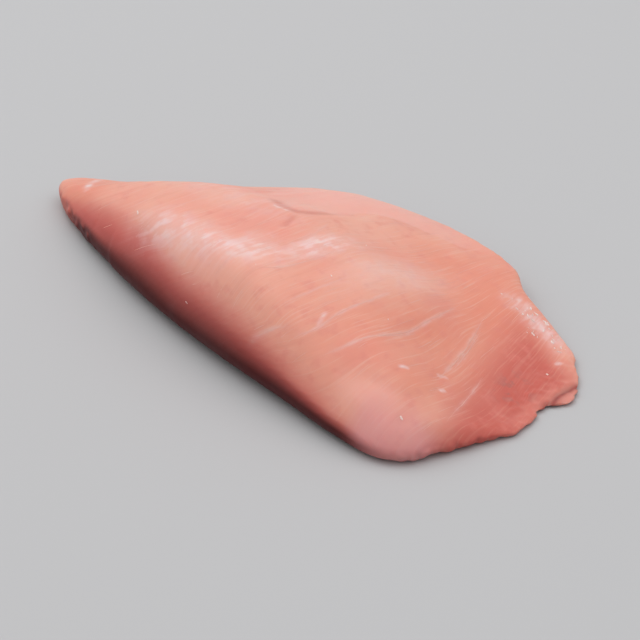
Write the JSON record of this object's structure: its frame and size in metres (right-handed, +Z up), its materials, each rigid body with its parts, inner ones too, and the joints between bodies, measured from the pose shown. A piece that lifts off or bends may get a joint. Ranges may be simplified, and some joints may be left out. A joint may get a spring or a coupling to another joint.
{
  "type": "raw chicken breast",
  "caption": "Raw boneless chicken breast fillet lying flat: a domed, tapering piece of meat with a narrow tail, a loose flap along one side and a thin ragged blunt end.",
  "frame": {"origin": "middle of the fillet's box, on its flat underside", "axes": "+X from the narrow tail to the thin blunt end, +Y to the far side with the loose flap, +Z up from the flat underside"},
  "size_m": [0.19, 0.1, 0.031],
  "materials": {
    "raw_chicken": "moist raw chicken: pale pink, soft and slightly translucent, with a wet sheen"
  },
  "bodies": {
    "root": {"chicken_breast": "raw_chicken"}
  },
  "joints": []
}
